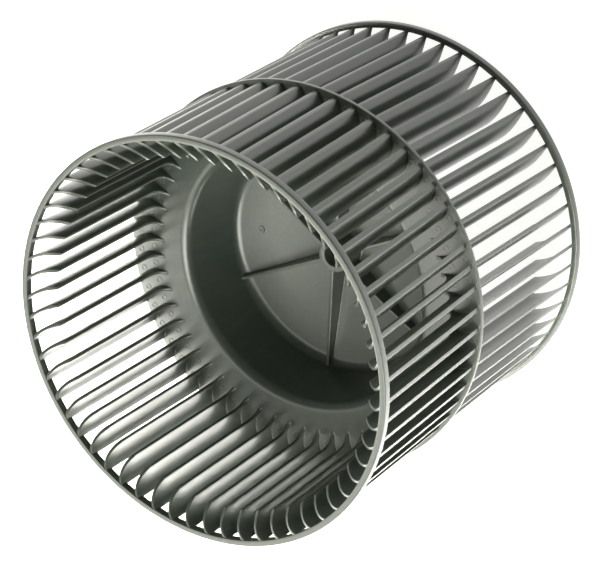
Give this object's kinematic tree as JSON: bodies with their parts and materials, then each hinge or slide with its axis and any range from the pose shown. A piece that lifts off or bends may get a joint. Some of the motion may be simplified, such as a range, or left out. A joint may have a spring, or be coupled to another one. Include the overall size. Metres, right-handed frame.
{
  "type": "centrifugal blower wheel",
  "caption": "Double-inlet blower wheel in one piece: two rings of forward-curved blades on a shared disc, an end ring at each end, and a deep dish with the shaft hub in the middle.",
  "frame": {"origin": "centre of the lower end ring's face, on the wheel's axis", "axes": "+Z along the wheel's axis, out of the open mouth of the dish"},
  "size_m": [0.15, 0.15, 0.138],
  "materials": {
    "wheel_plastic": "satin moulded plastic, dark greenish grey"
  },
  "bodies": {
    "root": {"blower_wheel": "wheel_plastic"}
  },
  "joints": []
}
